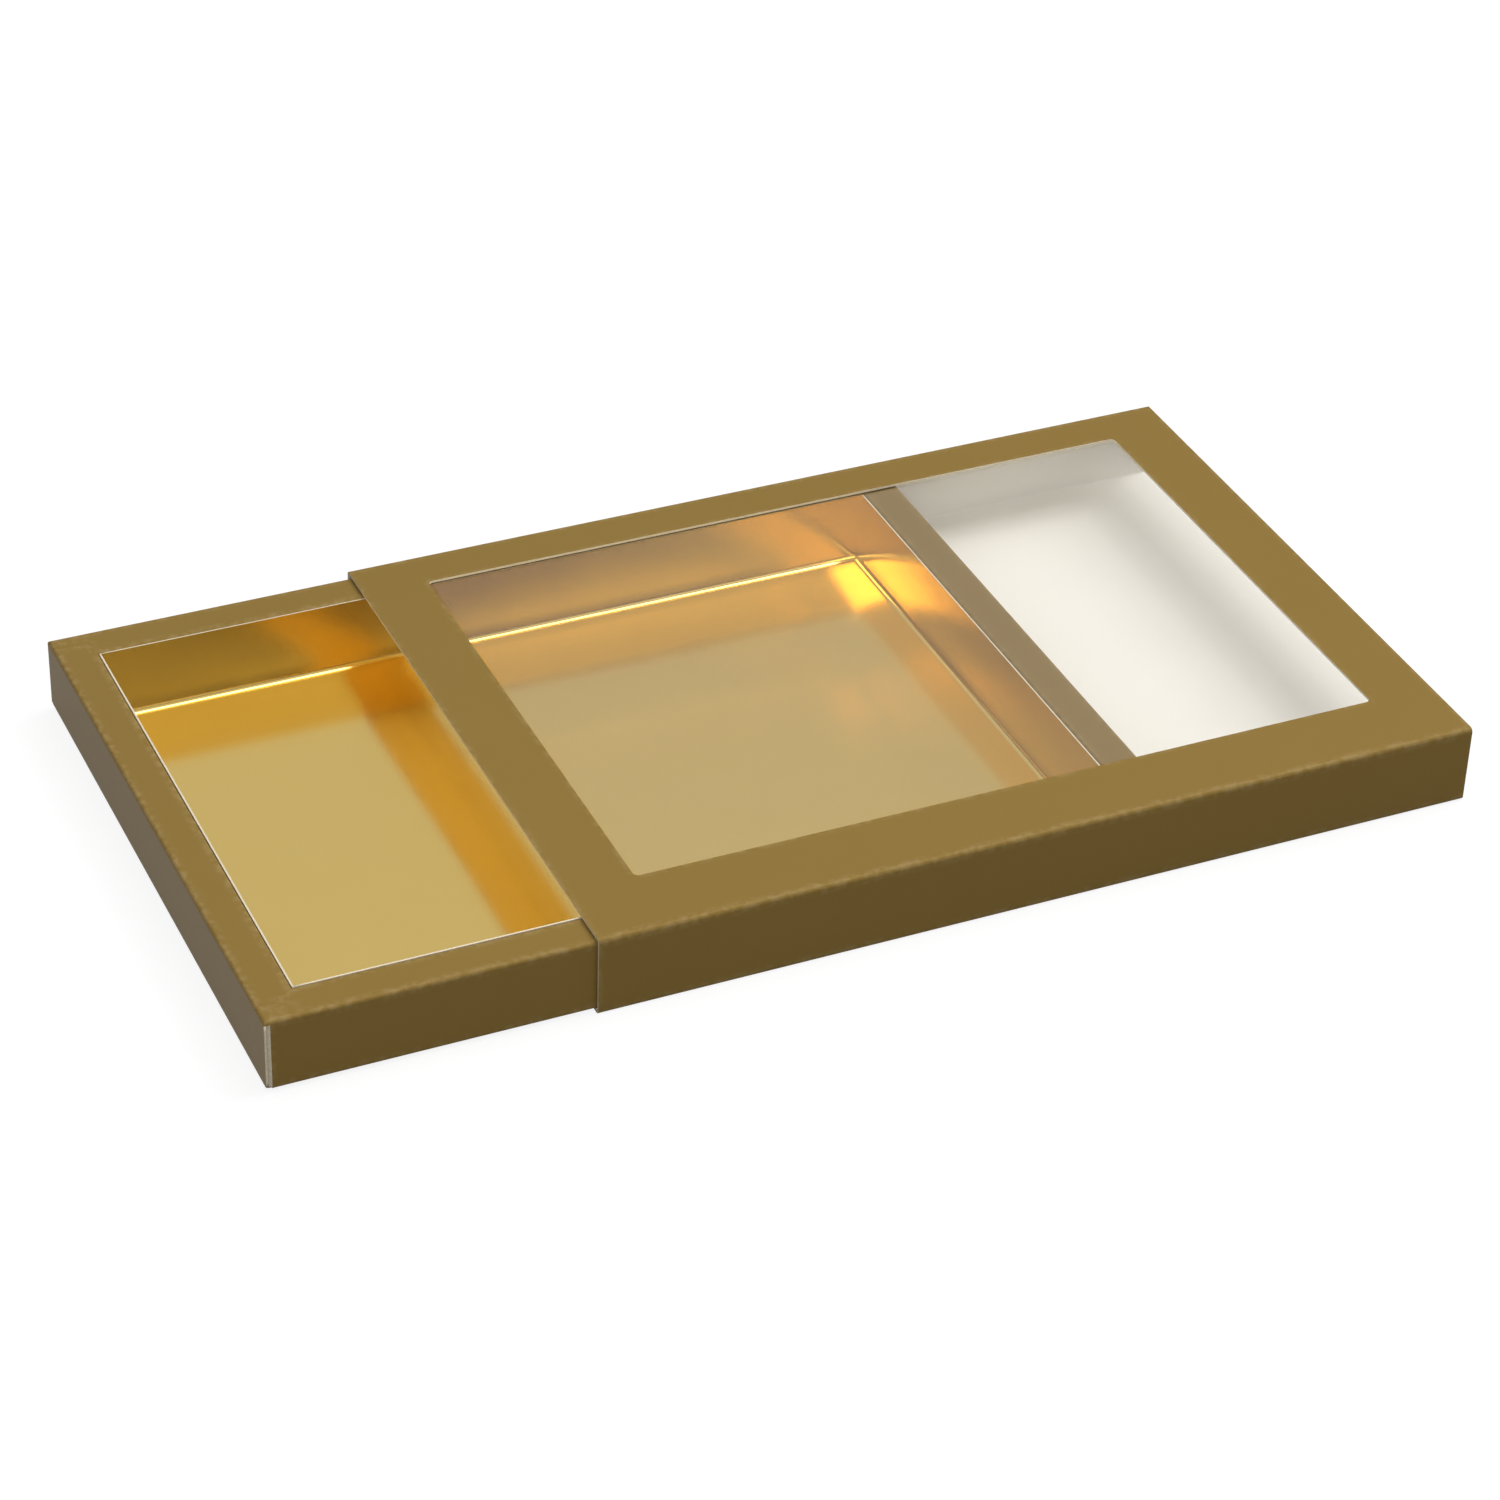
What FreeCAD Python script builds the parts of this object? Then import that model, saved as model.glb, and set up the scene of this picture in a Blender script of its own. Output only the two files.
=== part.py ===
import FreeCAD, Part
import math
import os

Vector = FreeCAD.Vector

# Sleeve: one glued wrap of board, open at both ends. Its length runs along X, its front faces -Y.
sleeve_length = 250.0
sleeve_width = 182.0
sleeve_height = 23.0
sleeve_board = 0.7
sleeve_crease_radius = 0.5
glue_flap_height = 15.0
glue_flap_end_taper = 10.0
back_edge_setback = 0.3

# Window in the top panel, and the clear film glued under it
window_end_margin = 18.5
window_front_margin = 21.5
window_back_margin = 13.5
window_corner_radius = 1.5
film_thickness = 0.15
film_lap = 8.0

# Tray: one blank rolled into hollow walls on all four sides
tray_end_setback = 1.0
tray_board = 0.6
tray_crease_radius = 0.4
rim_width = 11.0
foot_flap_width = 7.0
foot_flap_end_setback = 6.0
corner_flap_length = 28.0
corner_flap_chamfer = 3.0

# Room that the tray runs in, and how far it is pulled out of the left mouth
side_clearance = 0.5
top_clearance = 0.4
running_gap = 0.3
tray_pull_out = 87.0

# Liner: a folded card that covers the tray's floor, its sides leaning out against the inner walls
liner_board = 0.45
liner_crease_radius = 1.5
liner_top_drop = 0.2
liner_lean_degrees = 6.0

# How far every cutting tool runs past the piece that it trims
cut_overrun = 2.0

# A fold's outside radius is the board wrapped round its crease
sleeve_fold = sleeve_board + sleeve_crease_radius
tray_fold = tray_board + tray_crease_radius
liner_fold = liner_board + liner_crease_radius

# The sleeve is centred on its own underside
sleeve_left = -sleeve_length / 2
sleeve_front = -sleeve_width / 2
sleeve_back = sleeve_width / 2
glue_flap_face = sleeve_back - sleeve_board
film_top = sleeve_height - sleeve_board

# The tray runs between the front panel and the glue flap, over the bottom panel and under the film
tray_length = sleeve_length - 2 * tray_end_setback
tray_front = sleeve_front + sleeve_board + side_clearance
tray_back = glue_flap_face - sleeve_board - side_clearance
tray_width = tray_back - tray_front
tray_bottom = sleeve_board + running_gap
tray_height = film_top - film_thickness - top_clearance - tray_bottom
tray_left = sleeve_left + tray_end_setback - tray_pull_out
tray_right = tray_left + tray_length
tray_middle_x = (tray_left + tray_right) / 2
tray_middle_y = (tray_front + tray_back) / 2

# A liner side slants from the edge of the base up to the tray's inner wall
liner_lean = math.radians(liner_lean_degrees)
liner_fold_rise = liner_fold - liner_fold * math.sin(liner_lean)
liner_side_slant = (tray_height - tray_board - liner_top_drop - liner_fold_rise) / math.cos(liner_lean)
liner_inset = rim_width + liner_fold * math.cos(liner_lean) + liner_side_slant * math.sin(liner_lean)

# Each tray side is drawn running along X with its outer face on y = 0, then turned into place
quarter_turn = 90.0
tray_sides = {
    "front": (tray_length, 0, Vector(tray_middle_x, tray_front, tray_bottom)),
    "right": (tray_width, quarter_turn, Vector(tray_right, tray_middle_y, tray_bottom)),
    "back": (tray_length, 2 * quarter_turn, Vector(tray_middle_x, tray_back, tray_bottom)),
    "left": (tray_width, 3 * quarter_turn, Vector(tray_left, tray_middle_y, tray_bottom)),
}

# Headings on a section sheet
outward = Vector(-1, 0, 0)
inward = Vector(1, 0, 0)
upward = Vector(0, 1, 0)
downward = Vector(0, -1, 0)


def upright(point):
    # A section sheet stood up across the panel: first number towards the back, second one up
    return Vector(0, point.x, point.y)


def level(point):
    # A section sheet laid flat
    return Vector(point.x, point.y, 0)


def clockwise(heading):
    return Vector(heading.y, -heading.x, 0)


def turned(heading, degrees):
    return FreeCAD.Rotation(Vector(0, 0, -1), degrees).multVec(heading)


def fold_edge(sheet, centre, heading, degrees, radius):
    # Arc that starts along the heading and turns clockwise round the centre
    first = centre - clockwise(heading) * radius
    middle = centre - clockwise(turned(heading, degrees / 2)) * radius
    last = centre - clockwise(turned(heading, degrees)) * radius
    return Part.Arc(sheet(first), sheet(middle), sheet(last)).toShape()


def flat_edge(sheet, first, last):
    return Part.LineSegment(sheet(first), sheet(last)).toShape()


def flat(length):
    return ("flat", length, 0)


def fold(outside_radius, degrees=quarter_turn):
    return ("fold", outside_radius, degrees)


def board_section(sheet, start, heading, runs, board):
    # Closed face of a strip of board, traced along its outer face with the board on the right hand.
    # Its runs are flat stretches and folds to the right.
    outer_edges = []
    inner_edges = []
    first_cap = flat_edge(sheet, start, start + clockwise(heading) * board)
    here = start
    for kind, size, degrees in runs:
        side = clockwise(heading)
        if kind == "flat":
            there = here + heading * size
            outer_edges.append(flat_edge(sheet, here, there))
            inner_edges.append(flat_edge(sheet, here + side * board, there + side * board))
        else:
            centre = here + side * size
            outer_edges.append(fold_edge(sheet, centre, heading, degrees, size))
            inner_edges.append(fold_edge(sheet, centre, heading, degrees, size - board))
            heading = turned(heading, degrees)
            there = centre - clockwise(heading) * size
        here = there
    last_cap = flat_edge(sheet, here, here + clockwise(heading) * board)
    wire = Part.Wire(outer_edges + [last_cap] + inner_edges[::-1] + [first_cap])
    return Part.Face(wire)


def prism(corners, direction):
    return Part.Face(Part.makePolygon(corners + corners[:1])).extrude(direction)


def plate(low, high):
    size = high - low
    return Part.makeBox(size.x, size.y, size.z, low)


def rounded_plate(low, high, radius):
    block = plate(low, high)
    uprights = [edge for edge in block.Edges if abs(edge.tangentAt(edge.FirstParameter).z) == 1]
    return block.makeFillet(radius, uprights)


def along_sleeve(section):
    strip = section.extrude(Vector(sleeve_length, 0, 0))
    strip.translate(Vector(sleeve_left, 0, 0))
    return strip


def along_side(section, length):
    strip = section.extrude(Vector(length, 0, 0))
    strip.translate(Vector(-length / 2, 0, 0))
    return strip


def on_side(shape, side):
    length, turn, place = tray_sides[side]
    stand = FreeCAD.Placement(place, FreeCAD.Rotation(Vector(0, 0, 1), turn))
    placed = shape.copy()
    placed.Placement = stand.multiply(shape.Placement)
    return placed


def mitred(strip, length, depth):
    # Both ends cut back at 45 degrees, so that neighbouring sides meet on the corner's diagonal
    corners = [
        Vector(-length / 2, 0, -cut_overrun),
        Vector(length / 2, 0, -cut_overrun),
        Vector(length / 2 - depth, depth, -cut_overrun),
        Vector(-length / 2 + depth, depth, -cut_overrun),
    ]
    return strip.common(prism(corners, Vector(0, 0, tray_height + 2 * cut_overrun)))


def sleeve_top_panel():
    low = Vector(sleeve_left, sleeve_front + sleeve_fold, film_top)
    high = Vector(-sleeve_left, sleeve_back - sleeve_fold, sleeve_height)
    window_low = Vector(
        sleeve_left + window_end_margin,
        sleeve_front + window_front_margin,
        film_top - cut_overrun,
    )
    window_high = Vector(
        -sleeve_left - window_end_margin,
        sleeve_back - window_back_margin,
        sleeve_height + cut_overrun,
    )
    return plate(low, high).cut(rounded_plate(window_low, window_high, window_corner_radius))


def sleeve_front_panel():
    start = Vector(sleeve_front + sleeve_fold, 0, 0)
    runs = [fold(sleeve_fold), flat(sleeve_height - 2 * sleeve_fold), fold(sleeve_fold)]
    return along_sleeve(board_section(upright, start, outward, runs, sleeve_board))


def sleeve_back_panel():
    start = Vector(sleeve_back - sleeve_fold, sleeve_height, 0)
    runs = [fold(sleeve_fold), flat(sleeve_height - sleeve_fold - back_edge_setback)]
    return along_sleeve(board_section(upright, start, inward, runs, sleeve_board))


def sleeve_bottom_panel():
    low = Vector(sleeve_left, sleeve_front + sleeve_fold, 0)
    high = Vector(-sleeve_left, glue_flap_face - sleeve_fold, sleeve_board)
    return plate(low, high)


def sleeve_glue_flap():
    # Turned up from the bottom panel against the back panel, narrowing away from its crease
    start = Vector(glue_flap_face, glue_flap_height, 0)
    runs = [flat(glue_flap_height - sleeve_fold), fold(sleeve_fold)]
    strip = along_sleeve(board_section(upright, start, downward, runs, sleeve_board))
    front = glue_flap_face - sleeve_fold - cut_overrun
    outline = [
        Vector(sleeve_left, front, 0),
        Vector(-sleeve_left, front, 0),
        Vector(-sleeve_left, front, sleeve_fold),
        Vector(-sleeve_left - glue_flap_end_taper, front, glue_flap_height),
        Vector(sleeve_left + glue_flap_end_taper, front, glue_flap_height),
        Vector(sleeve_left, front, sleeve_fold),
    ]
    return strip.common(prism(outline, Vector(0, sleeve_fold + 2 * cut_overrun, 0)))


def window_film():
    low = Vector(
        sleeve_left + window_end_margin - film_lap,
        sleeve_front + window_front_margin - film_lap,
        film_top - film_thickness,
    )
    high = Vector(
        -sleeve_left - window_end_margin + film_lap,
        sleeve_back - window_back_margin + film_lap,
        film_top,
    )
    return plate(low, high)


def tray_floor():
    low = Vector(tray_left + tray_fold, tray_front + tray_fold, tray_bottom)
    high = Vector(tray_right - tray_fold, tray_back - tray_fold, tray_bottom + tray_board)
    return plate(low, high)


def tray_outer_wall(length):
    start = Vector(tray_fold, 0, 0)
    runs = [fold(tray_fold), flat(tray_height - 2 * tray_fold)]
    return along_side(board_section(upright, start, outward, runs, tray_board), length)


def tray_long_outer_wall():
    # Stops at the corner folds, from which the corner flaps turn in behind the end walls
    return tray_outer_wall(tray_length - 2 * (tray_board + tray_fold))


def tray_end_outer_wall():
    # Covers both corners, with its bottom fold relieved where the floor ends
    wall = tray_outer_wall(tray_width)
    reach = tray_fold + cut_overrun
    for end_start in (-tray_width / 2 - cut_overrun, tray_width / 2 - tray_fold):
        low = Vector(end_start, -cut_overrun, -cut_overrun)
        high = Vector(end_start + reach, tray_fold + cut_overrun, tray_fold)
        wall = wall.cut(plate(low, high))
    return wall


def tray_rim(length):
    start = Vector(0, tray_height - tray_fold, 0)
    runs = [fold(tray_fold), flat(rim_width - 2 * tray_fold), fold(tray_fold)]
    strip = along_side(board_section(upright, start, upward, runs, tray_board), length)
    return mitred(strip, length, rim_width)


def tray_inner_wall(length):
    start = Vector(rim_width, tray_height - tray_fold, 0)
    runs = [flat(tray_height - 2 * tray_fold - tray_board)]
    strip = along_side(board_section(upright, start, downward, runs, tray_board), length)
    return mitred(strip, length, rim_width)


def tray_foot_flap(length):
    # Turned out from under the inner wall and glued to the floor inside the hollow wall
    start = Vector(rim_width, tray_board + tray_fold, 0)
    runs = [fold(tray_fold), flat(foot_flap_width)]
    flap_length = length - 2 * (rim_width + foot_flap_end_setback)
    return along_side(board_section(upright, start, downward, runs, tray_board), flap_length)


def tray_corner_flap():
    # Left end of a long wall: folds round the corner and lies behind the end wall
    start = Vector(-tray_length / 2 + tray_board + tray_fold, 0, 0)
    runs = [fold(tray_fold), flat(corner_flap_length)]
    section = board_section(level, start, outward, runs, tray_board)
    top = tray_height - tray_fold
    tip = tray_fold + corner_flap_length
    strip = section.extrude(Vector(0, 0, top - tray_fold))
    strip.translate(Vector(0, 0, tray_fold))
    side = -tray_length / 2 - cut_overrun
    outline = [
        Vector(side, 0, tray_fold),
        Vector(side, tip - corner_flap_chamfer, tray_fold),
        Vector(side, tip, tray_fold + corner_flap_chamfer),
        Vector(side, tip, top - corner_flap_chamfer),
        Vector(side, tip - corner_flap_chamfer, top),
        Vector(side, 0, top),
    ]
    return strip.common(prism(outline, Vector(tray_board + tray_fold + 2 * cut_overrun, 0, 0)))


def liner_base():
    floor_top = tray_bottom + tray_board
    low = Vector(tray_left + liner_inset, tray_front + liner_inset, floor_top)
    high = Vector(tray_right - liner_inset, tray_back - liner_inset, floor_top + liner_board)
    return plate(low, high)


def liner_side(length):
    start = Vector(liner_inset, tray_board, 0)
    runs = [fold(liner_fold, quarter_turn - liner_lean_degrees), flat(liner_side_slant)]
    strip = along_side(board_section(upright, start, outward, runs, liner_board), length)
    return mitred(strip, length, liner_inset)


nodes = {
    "sleeve_top_panel": sleeve_top_panel(),
    "sleeve_front_panel": sleeve_front_panel(),
    "sleeve_back_panel": sleeve_back_panel(),
    "sleeve_bottom_panel": sleeve_bottom_panel(),
    "sleeve_glue_flap": sleeve_glue_flap(),
    "window_film": window_film(),
    "tray_floor": tray_floor(),
    "liner_base": liner_base(),
}

for side, (length, turn, place) in tray_sides.items():
    nodes[f"tray_{side}_rim"] = on_side(tray_rim(length), side)
    nodes[f"tray_{side}_inner_wall"] = on_side(tray_inner_wall(length), side)
    nodes[f"tray_{side}_foot_flap"] = on_side(tray_foot_flap(length), side)
    nodes[f"liner_{side}_side"] = on_side(liner_side(length), side)

for side in ("left", "right"):
    nodes[f"tray_{side}_outer_wall"] = on_side(tray_end_outer_wall(), side)

left_end_flap = tray_corner_flap()
right_end_flap = left_end_flap.mirror(Vector(0, 0, 0), Vector(1, 0, 0))
for side in ("front", "back"):
    nodes[f"tray_{side}_outer_wall"] = on_side(tray_long_outer_wall(), side)

# Seen from the back, a wall's left end is the tray's right one
nodes["tray_front_left_corner_flap"] = on_side(left_end_flap, "front")
nodes["tray_front_right_corner_flap"] = on_side(right_end_flap, "front")
nodes["tray_back_right_corner_flap"] = on_side(left_end_flap, "back")
nodes["tray_back_left_corner_flap"] = on_side(right_end_flap, "back")

os.makedirs("parts", exist_ok=True)
for name, shape in nodes.items():
    shape.exportStep(f"parts/{name}.step")
print(len(nodes), "pieces written")
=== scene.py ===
import math

import bmesh
import bpy
from mathutils import Matrix, Vector


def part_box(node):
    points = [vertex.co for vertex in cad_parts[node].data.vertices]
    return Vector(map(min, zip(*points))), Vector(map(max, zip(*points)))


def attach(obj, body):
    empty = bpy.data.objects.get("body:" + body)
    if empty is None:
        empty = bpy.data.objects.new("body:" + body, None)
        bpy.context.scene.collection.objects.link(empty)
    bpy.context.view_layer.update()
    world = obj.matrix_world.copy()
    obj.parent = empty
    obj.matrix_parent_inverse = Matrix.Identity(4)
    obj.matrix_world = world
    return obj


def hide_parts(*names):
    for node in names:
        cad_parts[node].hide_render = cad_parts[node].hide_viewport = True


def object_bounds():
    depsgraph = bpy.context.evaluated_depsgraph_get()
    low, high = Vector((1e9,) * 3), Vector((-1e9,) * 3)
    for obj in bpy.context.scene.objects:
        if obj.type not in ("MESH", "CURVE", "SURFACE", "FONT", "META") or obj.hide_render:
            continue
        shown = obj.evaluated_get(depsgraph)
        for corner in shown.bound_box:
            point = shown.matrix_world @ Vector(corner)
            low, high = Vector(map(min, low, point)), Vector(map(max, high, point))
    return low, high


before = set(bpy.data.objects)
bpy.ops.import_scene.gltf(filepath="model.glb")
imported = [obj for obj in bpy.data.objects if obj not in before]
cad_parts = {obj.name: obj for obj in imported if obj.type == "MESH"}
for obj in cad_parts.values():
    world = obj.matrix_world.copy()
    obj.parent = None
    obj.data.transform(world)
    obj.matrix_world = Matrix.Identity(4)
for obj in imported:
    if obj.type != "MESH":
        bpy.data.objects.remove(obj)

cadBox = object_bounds()
scene = bpy.context.scene
scene.view_settings.view_transform = "Standard"
mm = 0.001
print("frame loaded:", len(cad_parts), "CAD nodes")


# Node wiring

class Wire:
    # an output socket, arithmetic on it adds Math nodes
    def __init__(self, board, socket):
        self.board = board
        self.socket = socket

    def __add__(self, other):
        return self.board.maths("ADD", self, other)

    def __mul__(self, other):
        return self.board.maths("MULTIPLY", self, other)

    def __sub__(self, other):
        return self.board.maths("SUBTRACT", self, other)

    def __rsub__(self, other):
        return self.board.maths("SUBTRACT", other, self)

    __radd__ = __add__
    __rmul__ = __mul__


class NodeBoard:
    # a node tree while it is wired up
    def __init__(self, owner):
        owner.use_nodes = True
        self.tree = owner.node_tree
        self.tree.nodes.clear()

    def node(self, kind, settings=None, sockets=None, out=0):
        made = self.tree.nodes.new(kind)
        for key, value in (settings or {}).items():
            if key == "stops":
                self.setStops(made.color_ramp, value)
            else:
                setattr(made, key, value)
        for key, value in (sockets or {}).items():
            if isinstance(value, Wire):
                self.tree.links.new(value.socket, made.inputs[key])
            else:
                made.inputs[key].default_value = value
        return Wire(self, made.outputs[out]) if made.outputs else None

    def setStops(self, ramp, stops):
        while len(ramp.elements) < len(stops):
            ramp.elements.new(1)
        for element, (place, level) in zip(ramp.elements, stops):
            element.position = place
            element.color = (level, level, level, 1)

    def maths(self, operation, *values):
        return self.node("ShaderNodeMath", {"operation": operation}, dict(enumerate(values)))

    def place(self):
        return self.node("ShaderNodeTexCoord", out="Object")

    def noise(self, place, size, detail=2):
        # size is the width of one blotch, in metres
        sockets = {"Vector": place, "Scale": 1 / size, "Detail": detail}
        return self.node("ShaderNodeTexNoise", None, sockets)

    def ramp(self, value, low, high):
        # 0 below low, 1 above high
        return self.node("ShaderNodeValToRGB", {"stops": [(low, 0), (high, 1)]}, {"Fac": value})

    def mixColour(self, factor, first, second):
        sockets = {0: factor, 6: first, 7: second}
        return self.node("ShaderNodeMix", {"data_type": "RGBA"}, sockets, out=2)

    def bump(self, height, distance, strength):
        sockets = {"Height": height, "Distance": distance, "Strength": strength}
        return self.node("ShaderNodeBump", None, sockets)

    def attribute(self, name):
        return self.node("ShaderNodeAttribute", {"attribute_name": name}, out="Fac")

    def principled(self, sockets):
        return self.node("ShaderNodeBsdfPrincipled", None, sockets)

    def surface(self, shader):
        self.node("ShaderNodeOutputMaterial", None, {"Surface": shader})


def newMaterial(name):
    material = bpy.data.materials.new(name)
    return material, NodeBoard(material)


# Finishes

satinGold = {
    "gold": (0.250, 0.161, 0.042, 1),
    "deepGold": (0.236, 0.149, 0.036, 1),
    # paler gold on folds and cut edges: partly wear, partly a painted highlight
    "wornHighlitGold": (0.35, 0.25, 0.105, 1),
    "metal": 0.06,
    "gloss": 0.06,
    "roughness": 0.42,
    "driftSize": 32 * mm,
    "grainSize": 0.3 * mm,
    "grainShare": 0.3,          # of the tone, the rest is drift
    "grainRoughness": 0.08,
    "grainDepth": 0.004 * mm,
    "grainStrength": 0.3,
    "wearHighlightSize": 2.2 * mm,
    "wearHighlightFrom": 0.42,            # noise level at which the paler patches start, partly wear and partly a painted highlight
    "wearHighlightTo": 0.66,
    "wearHighlightShare": 0.55,
    "rubRoughness": 0.12,
}


def satinGoldFinish():
    # metallised paper on board: soft sheen, fine grain, paler in patches on folds and cut edges,
    # partly wear and partly a painted highlight
    material, board = newMaterial("satinGold")
    place = board.place()
    grain = board.noise(place, satinGold["grainSize"])
    drift = board.noise(place, satinGold["driftSize"], detail=3)
    patches = board.noise(place, satinGold["wearHighlightSize"], detail=4)
    # mask for the paler gold on folds and cut edges: partly wear, partly a painted highlight
    wearAndHighlight = board.attribute("rub") * board.ramp(patches, satinGold["wearHighlightFrom"], satinGold["wearHighlightTo"])
    share = satinGold["grainShare"]
    tone = board.mixColour(
        drift * (1 - share) + grain * share, satinGold["deepGold"], satinGold["gold"])
    roughness = satinGold["roughness"] + (grain - 0.5) * satinGold["grainRoughness"]
    board.surface(board.principled({
        # base colour paler on folds and cut edges: partly wear, partly a painted highlight
        "Base Color": board.mixColour(
            wearAndHighlight * satinGold["wearHighlightShare"], tone, satinGold["wornHighlitGold"]),
        "Metallic": satinGold["metal"],
        "Roughness": roughness + wearAndHighlight * satinGold["rubRoughness"],
        "Specular IOR Level": satinGold["gloss"],
        "Normal": board.bump(grain, satinGold["grainDepth"], satinGold["grainStrength"]),
    }))
    return material


whiteLining = {
    "white": (0.935, 0.905, 0.835, 1),
    "shade": (0.905, 0.872, 0.80, 1),
    "roughness": 0.62,
    "driftSize": 26 * mm,
    "fibreSize": 1.1 * mm,
    "fibreShare": 0.5,          # of the tone, the rest is drift
    "fibreRoughness": 0.1,
    "fibreDepth": 0.03 * mm,
    "fibreStrength": 0.4,
}


def whiteLiningFinish():
    # bare white back of the sleeve board, faintly fibrous
    material, board = newMaterial("whiteLining")
    place = board.place()
    fibre = board.noise(place, whiteLining["fibreSize"], detail=5)
    drift = board.noise(place, whiteLining["driftSize"])
    share = whiteLining["fibreShare"]
    board.surface(board.principled({
        "Base Color": board.mixColour(
            fibre * share + drift * (1 - share), whiteLining["shade"], whiteLining["white"]),
        "Roughness": whiteLining["roughness"] + fibre * whiteLining["fibreRoughness"],
        "Normal": board.bump(fibre, whiteLining["fibreDepth"], whiteLining["fibreStrength"]),
    }))
    return material


greyBoard = {
    "cream": (0.78, 0.69, 0.52, 1),
    "grey": (0.62, 0.54, 0.40, 1),
    "roughness": 0.8,
    "fibreSize": 0.6 * mm,
    "fibreFrom": 0.3,           # noise level that is still grey
    "fibreTo": 0.7,
    "fibreRoughness": 0.1,
    "fibreDepth": 0.05 * mm,
    "fibreStrength": 0.5,
}


def greyBoardFinish():
    # the board's core, on cut edges and on the unseen back of the tray blank
    material, board = newMaterial("greyBoard")
    fibre = board.noise(board.place(), greyBoard["fibreSize"], detail=5)
    pale = board.ramp(fibre, greyBoard["fibreFrom"], greyBoard["fibreTo"])
    board.surface(board.principled({
        "Base Color": board.mixColour(pale, greyBoard["grey"], greyBoard["cream"]),
        "Roughness": greyBoard["roughness"] + fibre * greyBoard["fibreRoughness"],
        "Normal": board.bump(fibre, greyBoard["fibreDepth"], greyBoard["fibreStrength"]),
    }))
    return material


foilGold = {
    "gold": (0.95, 0.697, 0.230, 1),
    "deepGold": (0.93, 0.672, 0.214, 1),
    "roughness": 0.13,
    "waveSize": 45 * mm,
    "waveDepth": 0.4 * mm,
    "waveStrength": 0.5,
    "driftSize": 18 * mm,
    "driftRoughness": 0.05,
    "speckSize": 0.9 * mm,
    "speckRoughness": 0.02,
}


def foilGoldFinish():
    # glossy gold foil on the liner: near mirror, softly uneven
    material, board = newMaterial("foilGold")
    place = board.place()
    wave = board.noise(place, foilGold["waveSize"], detail=1)
    drift = board.noise(place, foilGold["driftSize"], detail=3)
    speck = board.noise(place, foilGold["speckSize"])
    roughness = foilGold["roughness"] + drift * foilGold["driftRoughness"]
    board.surface(board.principled({
        "Base Color": board.mixColour(drift, foilGold["deepGold"], foilGold["gold"]),
        "Metallic": 1.0,
        "Roughness": roughness + speck * foilGold["speckRoughness"],
        "Normal": board.bump(wave, foilGold["waveDepth"], foilGold["waveStrength"]),
    }))
    return material


clearFilm = {
    "tint": (0.985, 0.985, 0.98, 1),
    "gleam": (0.94, 0.94, 0.92, 1),
    "refraction": 1.5,
    "reflection": 1.85,         # both faces of the film reflect
    "roughness": 0.05,
    "smudgeSize": 30 * mm,
    "smudgeGleam": 0.015,
    "smudgeRoughness": 0.05,
}


def clearFilmFinish():
    # the ray's way in carries the reflection, its way out only the tint
    material, board = newMaterial("clearFilm")
    smudge = board.noise(board.place(), clearFilm["smudgeSize"], detail=4)
    fresnel = board.node("ShaderNodeFresnel", None, {"IOR": clearFilm["refraction"]})
    wayOut = board.node("ShaderNodeNewGeometry", out="Backfacing")
    gleam = board.principled({
        "Base Color": clearFilm["gleam"],
        "Metallic": 1.0,
        "Roughness": clearFilm["roughness"] + smudge * clearFilm["smudgeRoughness"],
    })
    clear = board.node("ShaderNodeBsdfTransparent", None, {"Color": clearFilm["tint"]})
    free = board.attribute("free")       # 0 where the film is glued down
    reflected = fresnel * clearFilm["reflection"] + smudge * clearFilm["smudgeGleam"]
    share = reflected * free * (1 - wayOut)
    board.surface(board.node("ShaderNodeMixShader", None, {0: share, 1: clear, 2: gleam}))
    return material


gold = satinGoldFinish()
lining = whiteLiningFinish()
core = greyBoardFinish()
foil = foilGoldFinish()
film = clearFilmFinish()
print("finishes made")


# Mesh tools

foldSteps = 8
cutTolerance = 1e-7
sameSpot = 1e-6
quarterTurn = math.pi / 2
wearHighlightReach = 1.6 * mm    # how far the paler gold, partly wear and partly a painted highlight, spreads from a fold or a cut edge
sharpAngle = math.radians(35)
outward = Vector((0, -1, 0))
inward = Vector((0, 1, 0))
upward = Vector((0, 0, 1))
downward = Vector((0, 0, -1))
alongX = Vector((1, 0, 0))
levelAxes = (alongX, Vector((0, 1, 0)))


def span(node):
    low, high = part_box(node)
    return high - low


def newSheet():
    sheet = bmesh.new()
    # per-vertex mask for the paler gold: partly wear, partly a painted highlight
    sheet.verts.layers.float.new("rub")
    return sheet


def vertsOf(geometry):
    return [item for item in geometry if isinstance(item, bmesh.types.BMVert)]


def edgesOf(geometry):
    return [item for item in geometry if isinstance(item, bmesh.types.BMEdge)]


def everything(sheet):
    return sheet.verts[:] + sheet.edges[:] + sheet.faces[:]


def cutLoop(sheet, point, normal, clear=False):
    bmesh.ops.bisect_plane(
        sheet, geom=everything(sheet), plane_co=point, plane_no=normal,
        dist=cutTolerance, clear_outer=clear)


def cutEnds(sheet, length, reach):
    # a loop near each end of a strip
    for end in (-1, 1):
        cutLoop(sheet, alongX * end * (length / 2 - reach), alongX)


def rightOf(heading):
    return heading.cross(alongX)


def growFlat(sheet, front, heading, size):
    rub = sheet.verts.layers.float["rub"]
    made = bmesh.ops.extrude_edge_only(sheet, edges=front)["geom"]
    moved = set(vertsOf(made))
    bmesh.ops.translate(sheet, verts=list(moved), vec=heading * size)
    for vert in moved:
        vert[rub] = 0
    return [edge for edge in edgesOf(made) if set(edge.verts) <= moved]


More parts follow.
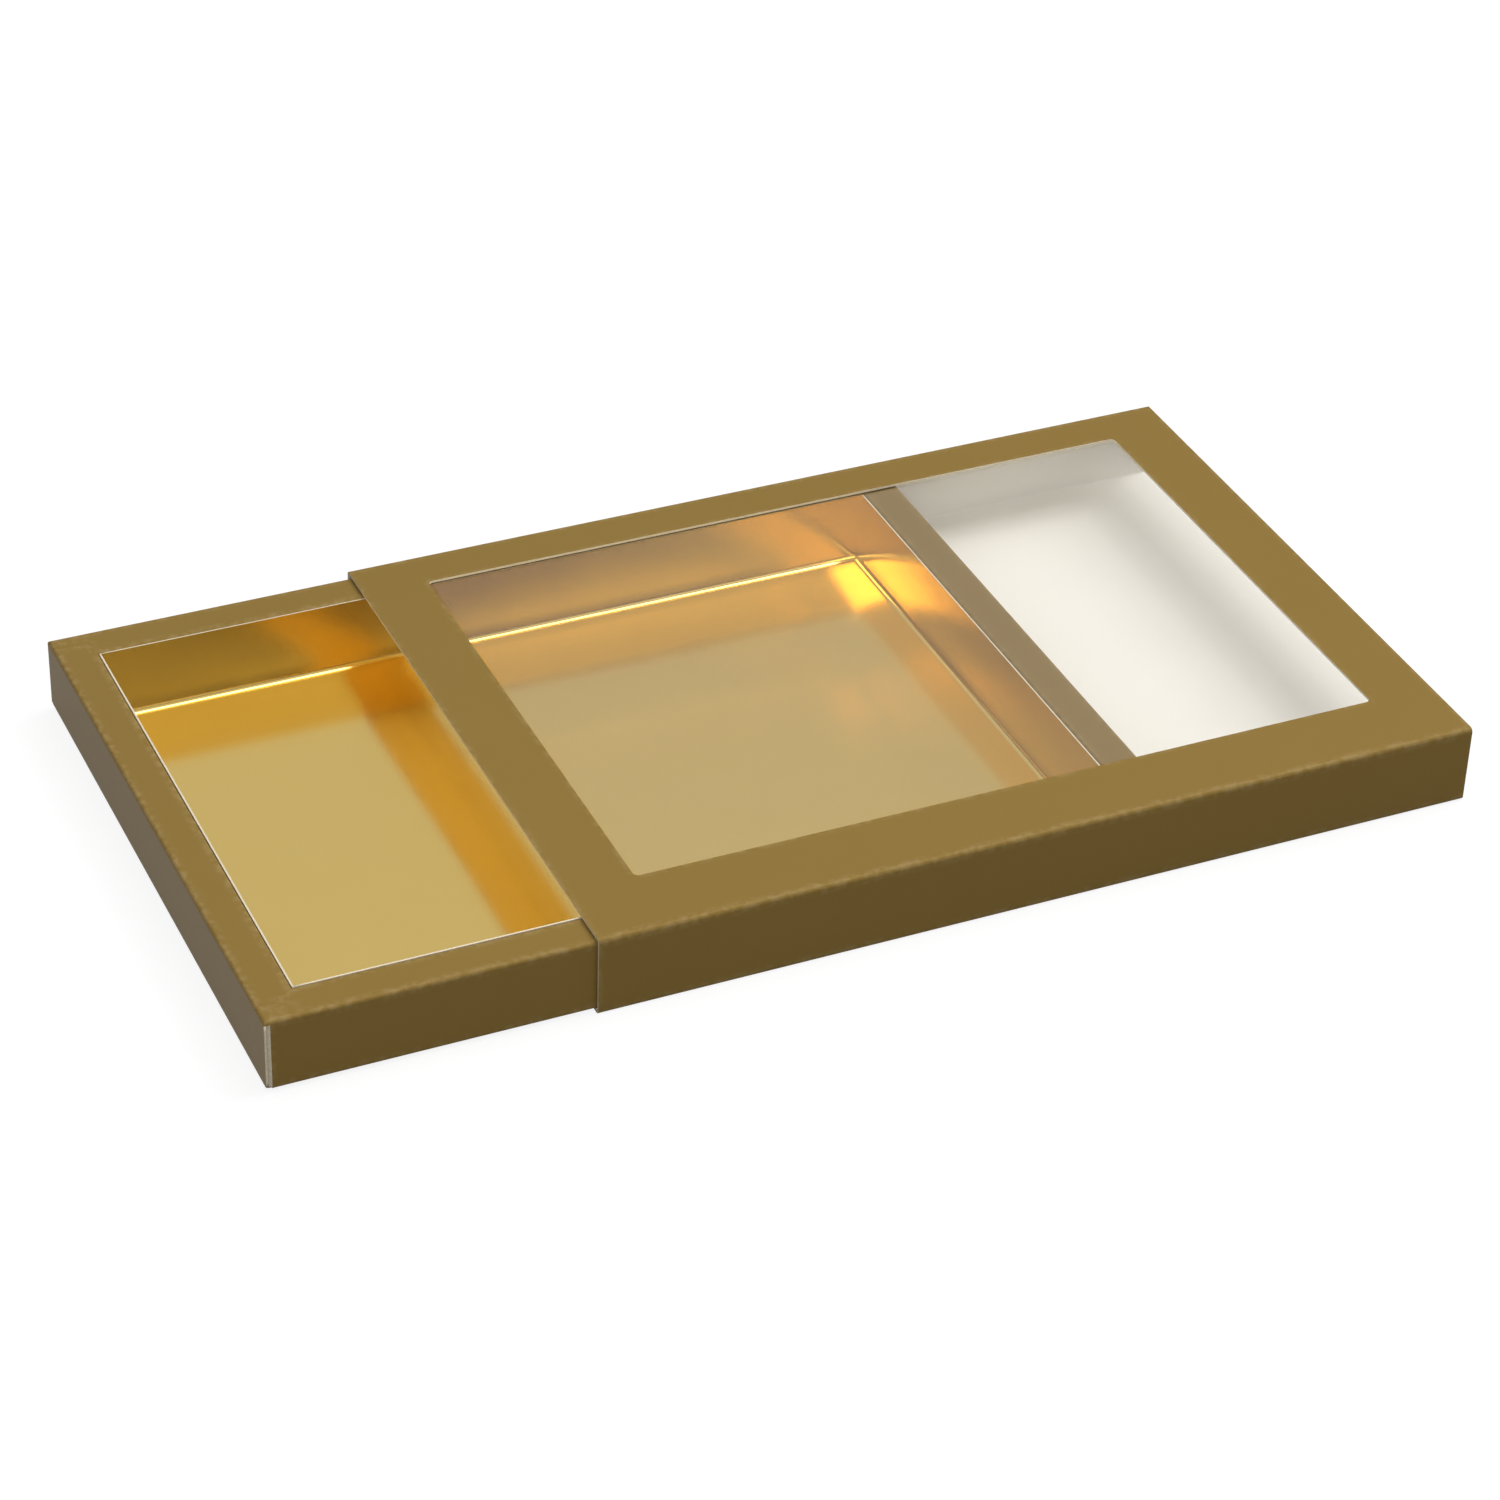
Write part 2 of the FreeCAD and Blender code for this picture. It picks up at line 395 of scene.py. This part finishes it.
def growFold(sheet, front, heading, radius, turn):
    # bends to the right of the heading
    rub = sheet.verts.layers.float["rub"]
    before = set(sheet.verts)
    onFront = list({vert for edge in front for vert in edge.verts})
    centre = onFront[0].co + rightOf(heading) * radius
    made = bmesh.ops.spin(
        sheet, geom=onFront + front, cent=centre, axis=alongX, angle=-turn, steps=foldSteps)
    # folds get the mask for the paler gold: partly wear, partly a painted highlight
    for vert in onFront + [vert for vert in sheet.verts if vert not in before]:
        vert[rub] = 1
    return edgesOf(made["geom_last"])


def flat(length):
    return ("flat", length, 0)


def fold(radius, turn=quarterTurn):
    return ("fold", radius, turn)


def growStrip(length, columns, start, heading, runs):
    # a strip along X, grown across from its first edge by flat runs and folds to the right
    sheet = newSheet()
    ends = [sheet.verts.new((side * length / 2, start[0], start[1])) for side in (-1, 1)]
    bmesh.ops.subdivide_edges(sheet, edges=[sheet.edges.new(ends)], cuts=columns - 1)
    front = sheet.edges[:]
    outside = -rightOf(heading)
    for kind, size, turn in runs:
        if kind == "fold":
            front = growFold(sheet, front, heading, size, turn)
            heading = Matrix.Rotation(-turn, 3, "X") @ heading
        elif size > 4 * wearHighlightReach:
            for part in (wearHighlightReach, size - 2 * wearHighlightReach, wearHighlightReach):
                front = growFlat(sheet, front, heading, part)
        else:
            front = growFlat(sheet, front, heading, size)
    bmesh.ops.recalc_face_normals(sheet, faces=sheet.faces[:])
    sheet.faces.ensure_lookup_table()
    if outsideWrong(sheet, start, outside):
        bmesh.ops.reverse_faces(sheet, faces=sheet.faces[:])
    return sheet


def outsideWrong(sheet, start, outside):
    # tests the face that starts the strip
    first = Vector((0, start[0], start[1]))

    def distance(face):
        return min((vert.co - first).yz.length for vert in face.verts)

    nearest = min(sheet.faces, key=distance)
    nearest.normal_update()
    return nearest.normal.dot(outside) < 0


def mitre(sheet, length):
    # ends cut back at 45 degrees
    for side in (-1, 1):
        cutLoop(sheet, Vector((side * length / 2, 0, 0)), Vector((side, 1, 0)), clear=True)


# cut edges get the mask for the paler gold: partly wear, partly a painted highlight
def markWearHighlightEdges(sheet):
    rub = sheet.verts.layers.float["rub"]
    for vert in sheet.verts:
        if vert.is_boundary:
            vert[rub] = 1


def flatSheet(low, high, columns=1, rows=1):
    # a level sheet over a box, at the box's top
    sheet = newSheet()
    bmesh.ops.create_grid(sheet, x_segments=columns, y_segments=rows, size=0.5)
    middle = (low + high) / 2
    bmesh.ops.scale(sheet, verts=sheet.verts[:], vec=(high.x - low.x, high.y - low.y, 1))
    bmesh.ops.translate(sheet, verts=sheet.verts[:], vec=(middle.x, middle.y, high.z))
    return sheet


def thicken(sheet, depth):
    # the sheet becomes the top of a plate
    made = bmesh.ops.extrude_face_region(sheet, geom=sheet.faces[:], use_keep_orig=True)["geom"]
    bmesh.ops.translate(sheet, verts=vertsOf(made), vec=(0, 0, -depth))
    bmesh.ops.recalc_face_normals(sheet, faces=sheet.faces[:])


def paintPlate(sheet, upper, under, edge):
    for face in sheet.faces:
        facing = round(face.normal.z)
        face.material_index = upper if facing > 0 else under if facing < 0 else edge


def addPiece(name, sheet, finishes, node, thickness=None):
    for edge in sheet.edges:
        edge.smooth = not edge.is_boundary and edge.calc_face_angle(0) < sharpAngle
    mesh = bpy.data.meshes.new(name)
    sheet.to_mesh(mesh)
    sheet.free()
    for finish in finishes:
        mesh.materials.append(finish)
    for polygon in mesh.polygons:
        polygon.use_smooth = True
    piece = bpy.data.objects.new(name, mesh)
    scene.collection.objects.link(piece)
    if thickness:
        wall = piece.modifiers.new("boardThickness", "SOLIDIFY")
        wall.thickness = thickness
        wall.offset = -1
        wall.use_even_offset = True
        wall.material_offset = 1         # second finish on the inside
        wall.material_offset_rim = 2     # third one on the cut edges
    body = "tray" if node.startswith(("tray", "liner")) else "sleeve"
    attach(piece, body)
    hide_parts(node)


# Sleeve: gold outside, white inside, board core on its cut edges

sleeveLow = Vector((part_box("sleeve_bottom_panel")[0].x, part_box("sleeve_front_panel")[0].y, 0))
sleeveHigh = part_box("sleeve_back_panel")[1]
sleeve = {
    "length": sleeveHigh.x - sleeveLow.x,
    "height": sleeveHigh.z,
    "board": span("sleeve_bottom_panel").z,
    "fold": span("sleeve_front_panel").y,
    "columns": 24,
    "filmLap": 8 * mm,          # film glued round the window
    "windowCorner": 1.5 * mm,
    "cornerSteps": 5,
    "flapTaper": 10 * mm,
}
sleeveFinishes = [gold, lining, core]
lapInset = Vector((sleeve["filmLap"], sleeve["filmLap"], 0))
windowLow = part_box("window_film")[0] + lapInset
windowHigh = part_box("window_film")[1] - lapInset


def sleeveTop():
    low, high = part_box("sleeve_top_panel")
    sheet = flatSheet(low, high)
    for limit, inner, side in ((low, windowLow, -1), (high, windowHigh, 1)):
        for axis in levelAxes:
            for place in (limit - side * axis * wearHighlightReach, inner, inner + side * axis * wearHighlightReach):
                cutLoop(sheet, place, axis)
    opening = [face for face in sheet.faces if inWindow(face.calc_center_median())]
    bmesh.ops.delete(sheet, geom=opening, context="FACES")
    markWearHighlightEdges(sheet)
    thicken(sheet, sleeve["board"])
    corners = [edge for edge in sheet.edges if isWindowCorner(edge)]
    bmesh.ops.bevel(
        sheet, geom=corners, offset=sleeve["windowCorner"], affect="EDGES",
        segments=sleeve["cornerSteps"], profile=0.5, material=-1)
    paintPlate(sheet, 0, 1, 2)
    addPiece("sleeveTopBoard", sheet, sleeveFinishes, "sleeve_top_panel")


def inWindow(point):
    return windowLow.x < point.x < windowHigh.x and windowLow.y < point.y < windowHigh.y


def isWindowCorner(edge):
    middle = (edge.verts[0].co + edge.verts[1].co) / 2
    upright = (edge.verts[0].co - edge.verts[1].co).xy.length < sameSpot
    nearX = min(abs(middle.x - windowLow.x), abs(middle.x - windowHigh.x)) < sameSpot
    nearY = min(abs(middle.y - windowLow.y), abs(middle.y - windowHigh.y)) < sameSpot
    return upright and nearX and nearY


def sleeveBottom():
    low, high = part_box("sleeve_bottom_panel")
    sheet = flatSheet(low, high)
    for limit, side in ((low, -1), (high, 1)):
        for axis in levelAxes:
            cutLoop(sheet, limit - side * axis * wearHighlightReach, axis)
    markWearHighlightEdges(sheet)
    thicken(sheet, sleeve["board"])
    paintPlate(sheet, 1, 0, 2)
    addPiece("sleeveBottomBoard", sheet, sleeveFinishes, "sleeve_bottom_panel")


def sleeveStrip(name, node, start, heading, runs):
    sheet = growStrip(sleeve["length"], sleeve["columns"], start, heading, runs)
    cutEnds(sheet, sleeve["length"], wearHighlightReach)
    if node == "sleeve_glue_flap":
        taperFlap(sheet)
    markWearHighlightEdges(sheet)
    addPiece(name, sheet, sleeveFinishes, node, sleeve["board"])


def taperFlap(sheet):
    # the flap narrows above its crease
    rise = span("sleeve_glue_flap").z - sleeve["fold"]
    for side in (-1, 1):
        corner = Vector((side * sleeve["length"] / 2, 0, sleeve["fold"]))
        cutLoop(sheet, corner, Vector((side * rise, 0, sleeve["flapTaper"])), clear=True)


def buildSleeve():
    bend = sleeve["fold"]
    height = sleeve["height"]
    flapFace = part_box("sleeve_glue_flap")[1].y
    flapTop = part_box("sleeve_glue_flap")[1].z
    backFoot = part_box("sleeve_back_panel")[0].z
    sleeveTop()
    sleeveBottom()
    sleeveStrip("sleeveFrontBoard", "sleeve_front_panel", (sleeveLow.y + bend, 0), outward,
                [fold(bend), flat(height - 2 * bend), fold(bend)])
    sleeveStrip("sleeveBackBoard", "sleeve_back_panel", (sleeveHigh.y - bend, height), inward,
                [fold(bend), flat(height - bend - backFoot)])
    sleeveStrip("sleeveGlueFlap", "sleeve_glue_flap", (flapFace, flapTop), downward,
                [flat(flapTop - bend), fold(bend)])
    print("sleeve folded")


buildSleeve()


# Window film: slightly slack inside the window, flat where it is glued

windowFilm = {
    "columns": 72,
    "rows": 50,
    "glueLine": 0.02 * mm,    # between film and board
    "slack": 0.12 * mm,
    "ripple": 0.5,            # share of the slack that waves
    "wavesX": 3.3,
    "wavesY": 2.2,
    "skewX": 0.25,
    "skewY": 0.3,
}


def filmSlack(point):
    across = (point.x - windowLow.x) / (windowHigh.x - windowLow.x)
    along = (point.y - windowLow.y) / (windowHigh.y - windowLow.y)
    if not (0 < across < 1 and 0 < along < 1):
        return 0
    held = math.sin(math.pi * across) * math.sin(math.pi * along)
    wave = math.sin(math.tau * windowFilm["wavesX"] * (across + windowFilm["skewX"] * along))
    cross = math.sin(math.tau * windowFilm["wavesY"] * (along - windowFilm["skewY"] * across) + 1)
    ripple = windowFilm["ripple"]
    return -windowFilm["slack"] * math.sqrt(held) * (1 + ripple * wave * cross) / (1 + ripple)


def buildFilm():
    low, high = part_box("window_film")
    high.z -= windowFilm["glueLine"]
    sheet = flatSheet(low, high, windowFilm["columns"], windowFilm["rows"])
    free = sheet.verts.layers.float.new("free")
    for vert in sheet.verts:
        vert[free] = inWindow(vert.co)
        vert.co.z += filmSlack(vert.co)
    thicken(sheet, high.z - low.z)
    addPiece("windowFilm", sheet, [film], "window_film")
    print("film stretched over the window")


buildFilm()


# Tray: one blank rolled into hollow walls. A side is drawn along X with its outer face on y = 0.

trayLow = Vector((
    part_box("tray_left_rim")[0].x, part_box("tray_front_rim")[0].y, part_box("tray_floor")[0].z))
trayHigh = Vector((
    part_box("tray_right_rim")[1].x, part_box("tray_back_rim")[1].y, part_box("tray_front_rim")[1].z))
traySize = trayHigh - trayLow
tray = {
    "board": span("tray_floor").z,
    "fold": span("tray_front_outer_wall").y,
    "rim": span("tray_front_rim").y,
    "columns": 20,
}
trayFinishes = [gold, core, core]
traySides = {"front": 0, "right": 90, "back": 180, "left": 270}


def sideLength(side):
    return traySize.x if side in ("front", "back") else traySize.y


def onSide(sheet, side):
    turn = Matrix.Rotation(math.radians(traySides[side]), 4, "Z")
    across = traySize.y if side in ("front", "back") else traySize.x
    middle = Vector(((trayLow.x + trayHigh.x) / 2, (trayLow.y + trayHigh.y) / 2, trayLow.z))
    place = Matrix.Translation(middle + turn @ Vector((0, -across / 2, 0)))
    bmesh.ops.transform(sheet, matrix=place @ turn, verts=sheet.verts[:])


def trayWall(side):
    node = f"tray_{side}_outer_wall"
    bend = tray["fold"]
    length = max(span(node).x, span(node).y)
    sheet = growStrip(length, tray["columns"], (bend, 0), outward,
                      [fold(bend), flat(traySize.z - 2 * bend)])
    cutEnds(sheet, length, wearHighlightReach)
    if side in ("left", "right"):
        relieveCorners(sheet, length)
    markWearHighlightEdges(sheet)
    onSide(sheet, side)
    name = f"tray{side.title()}Wall"
    addPiece(name, sheet, trayFinishes, node, tray["board"])


def relieveCorners(sheet, length):
    # the end wall's bottom fold stops where the floor does
    cutEnds(sheet, length, tray["fold"])
    spare = [face for face in sheet.faces if isRelief(face.calc_center_median(), length)]
    bmesh.ops.delete(sheet, geom=spare, context="FACES")


def isRelief(point, length):
    return abs(point.x) > length / 2 - tray["fold"] and point.z < tray["fold"]


def trayRim(side):
    bend = tray["fold"]
    length = sideLength(side)
    sheet = growStrip(length, tray["columns"], (0, traySize.z - bend), upward,
                      [fold(bend), flat(tray["rim"] - 2 * bend), fold(bend)])
    mitre(sheet, length)
    markWearHighlightEdges(sheet)
    onSide(sheet, side)
    name = f"tray{side.title()}Rim"
    addPiece(name, sheet, trayFinishes, f"tray_{side}_rim", tray["board"])


def buildTray():
    for side in traySides:
        trayWall(side)
        trayRim(side)
    print("tray walls rolled")


buildTray()


# Liner: foil card, bowed a little between its corners

liner = {
    "board": span("liner_base").z,
    "fold": span("liner_base").z + 1.5 * mm,    # board round its crease
    "inset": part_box("liner_base")[0].x - trayLow.x,
    "lean": math.radians(6),
    "columns": 48,
    "rows": 6,
    "bow": 0.25 * mm,
    "lift": 0.22 * mm,
    "ripple": 0.25,           # share of the lift that waves
    "waves": 1.3,
    "waveSkew": 0.4,
    "baseColumns": 80,
    "baseRows": 56,
}
linerFinishes = [core, foil, core]


def linerSide(side):
    bend = liner["fold"]
    lean = liner["lean"]
    length = sideLength(side)
    slant = (liner["inset"] - tray["rim"] - bend * math.cos(lean)) / math.sin(lean)
    rise = [flat(slant / liner["rows"])] * liner["rows"]
    sheet = growStrip(length, liner["columns"], (liner["inset"], tray["board"]), outward,
                      [fold(bend, quarterTurn - lean)] + rise)
    mitre(sheet, length)
    inner = length - 2 * tray["rim"]
    for vert in sheet.verts:
        along = math.cos(math.pi * min(0.5, abs(vert.co.x) / inner))
        up = max(0, vert.co.z - tray["board"] - bend) / slant
        vert.co.y += liner["bow"] * along * math.sin(math.pi * min(1, up))
    onSide(sheet, side)
    name = f"liner{side.title()}Side"
    addPiece(name, sheet, linerFinishes, f"liner_{side}_side", liner["board"])


def linerBase():
    low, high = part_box("liner_base")
    ripple = liner["ripple"]
    sheet = flatSheet(low, high, liner["baseColumns"], liner["baseRows"])
    for vert in sheet.verts:
        across = (vert.co.x - low.x) / (high.x - low.x)
        along = (vert.co.y - low.y) / (high.y - low.y)
        held = math.sin(math.pi * across) * math.sin(math.pi * along)
        wave = math.sin(math.tau * liner["waves"] * (across - liner["waveSkew"] * along))
        vert.co.z += liner["lift"] * held * (1 - ripple + ripple * wave)
    thicken(sheet, liner["board"])
    paintPlate(sheet, 1, 0, 0)
    addPiece("linerBase", sheet, linerFinishes, "liner_base")


def buildLiner():
    for side in traySides:
        linerSide(side)
    linerBase()
    print("liner folded")


buildLiner()


# CAD nodes that stay: the tray's floor and inner walls, and the flaps shut inside its hollow walls

def dressNodes():
    for name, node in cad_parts.items():
        finish = core if name.endswith("_flap") else gold
        node.data.materials.clear()
        node.data.materials.append(finish)
    print("CAD nodes dressed")


dressNodes()


# Studio

studio = {
    "floorRadius": 6.0,
    "floorSides": 96,
    "floorGap": 0.05 * mm,     # under the box
    "floorGrey": (0.16, 0.16, 0.16, 1),
    "floorGlow": 0.86,
    "backdropHeight": 1.5,
    "backdropGlow": 1.0,
    "skyLow": 0.30,      # the walls of the studio are dim up to here, as a share of straight up
    "skyHigh": 0.54,     # its ceiling starts here
    "wallLight": 0.05,
    "ceilingLight": 0.61,
}


def seenDirectly(board):
    # camera, mirror and see-through rays
    light = "ShaderNodeLightPath"
    camera = board.node(light, out="Is Camera Ray")
    mirror = board.node(light, out="Is Glossy Ray")
    through = board.node(light, out="Is Transmission Ray")
    return board.maths("MINIMUM", camera + mirror + through, 1)


def addStage(name, sheet, grey, glow):
    mesh = bpy.data.meshes.new(name)
    sheet.to_mesh(mesh)
    sheet.free()
    stage = bpy.data.objects.new(name, mesh)
    scene.collection.objects.link(stage)
    material, board = newMaterial(name + "Paper")
    paper = board.node("ShaderNodeBsdfDiffuse", None, {"Color": grey})
    shine = board.node("ShaderNodeEmission", None, {"Strength": seenDirectly(board) * glow})
    board.surface(board.node("ShaderNodeAddShader", None, {0: paper, 1: shine}))
    mesh.materials.append(material)


def floorCircle(filled):
    ground = Matrix.Translation((0, 0, cadBox[0].z - studio["floorGap"]))
    sheet = bmesh.new()
    bmesh.ops.create_circle(
        sheet, cap_ends=filled, segments=studio["floorSides"],
        radius=studio["floorRadius"], matrix=ground)
    return sheet


def buildFloor():
    addStage("studioFloor", floorCircle(True), studio["floorGrey"], studio["floorGlow"])


def buildBackdrop():
    # a white wall all round, low enough to leave the light free
    sheet = floorCircle(False)
    made = bmesh.ops.extrude_edge_only(sheet, edges=sheet.edges[:])["geom"]
    bmesh.ops.translate(sheet, verts=vertsOf(made), vec=(0, 0, studio["backdropHeight"]))
    addStage("studioBackdrop", sheet, studio["floorGrey"], studio["backdropGlow"])


def buildWorld():
    world = bpy.data.worlds.new("studioWorld")
    scene.world = world
    board = NodeBoard(world)
    heading = board.node("ShaderNodeTexCoord")
    upwards = board.node("ShaderNodeSeparateXYZ", None, {0: heading}, out="Z")
    rise = board.ramp(upwards, studio["skyLow"], studio["skyHigh"])
    soft = studio["wallLight"] + rise * (studio["ceilingLight"] - studio["wallLight"])
    sky = board.node("ShaderNodeBackground", None, {"Color": (1, 1, 1, 1), "Strength": soft})
    board.node("ShaderNodeOutputWorld", None, {"Surface": sky})


softboxes = {
    "overheadBox": {"from": (0.45, 0.0, 1.92), "size": (1.0, 1.0), "brightness": 3.6},
    "sideBox": {"from": (1.65, 0.29, 1.99), "size": (1.8, 1.8), "brightness": 2.8},
    "frontBox": {"from": (-0.42, -0.772, 0.894), "size": (0.43, 0.43), "brightness": 4.4},
    "rightCard": {"from": (0.70, -1.212, 0.776), "size": (0.62, 0.80), "brightness": 0.42},
    "lowCard": {"from": (-0.52, -1.19, 0.50), "size": (0.45, 0.40), "brightness": 1.3},
}
lightTarget = Vector((-0.04, 0, 0.01))


def buildLamps():
    for name, box in softboxes.items():
        lamp = bpy.data.lights.new(name, "AREA")
        lamp.shape = "RECTANGLE"
        lamp.size, lamp.size_y = box["size"]
        lamp.energy = box["brightness"] * math.pi * lamp.size * lamp.size_y
        holder = bpy.data.objects.new(name, lamp)
        holder.location = box["from"]
        aim = lightTarget - holder.location
        holder.rotation_euler = aim.to_track_quat("-Z", "Y").to_euler()
        holder.visible_camera = False
        scene.collection.objects.link(holder)


viewpoint = {
    "from": Vector((-0.45936, -0.88646, 0.67726)),
    "ahead": Vector((0.34952, 0.74473, -0.56852)),
    "roll": math.radians(2.012),
    "lens": 105.97,
    "sensor": 36.0,
    "nearClip": 0.01,
}


def buildCamera():
    lens = bpy.data.cameras.new("photoCamera")
    lens.lens = viewpoint["lens"]
    lens.sensor_width = viewpoint["sensor"]
    lens.clip_start = viewpoint["nearClip"]
    camera = bpy.data.objects.new("photoCamera", lens)
    turn = viewpoint["ahead"].to_track_quat("-Z", "Y").to_matrix().to_4x4()
    roll = Matrix.Rotation(viewpoint["roll"], 4, "Z")
    camera.matrix_world = Matrix.Translation(viewpoint["from"]) @ turn @ roll
    scene.collection.objects.link(camera)
    scene.camera = camera


buildFloor()
buildBackdrop()
buildWorld()
buildLamps()
buildCamera()
print("studio ready")
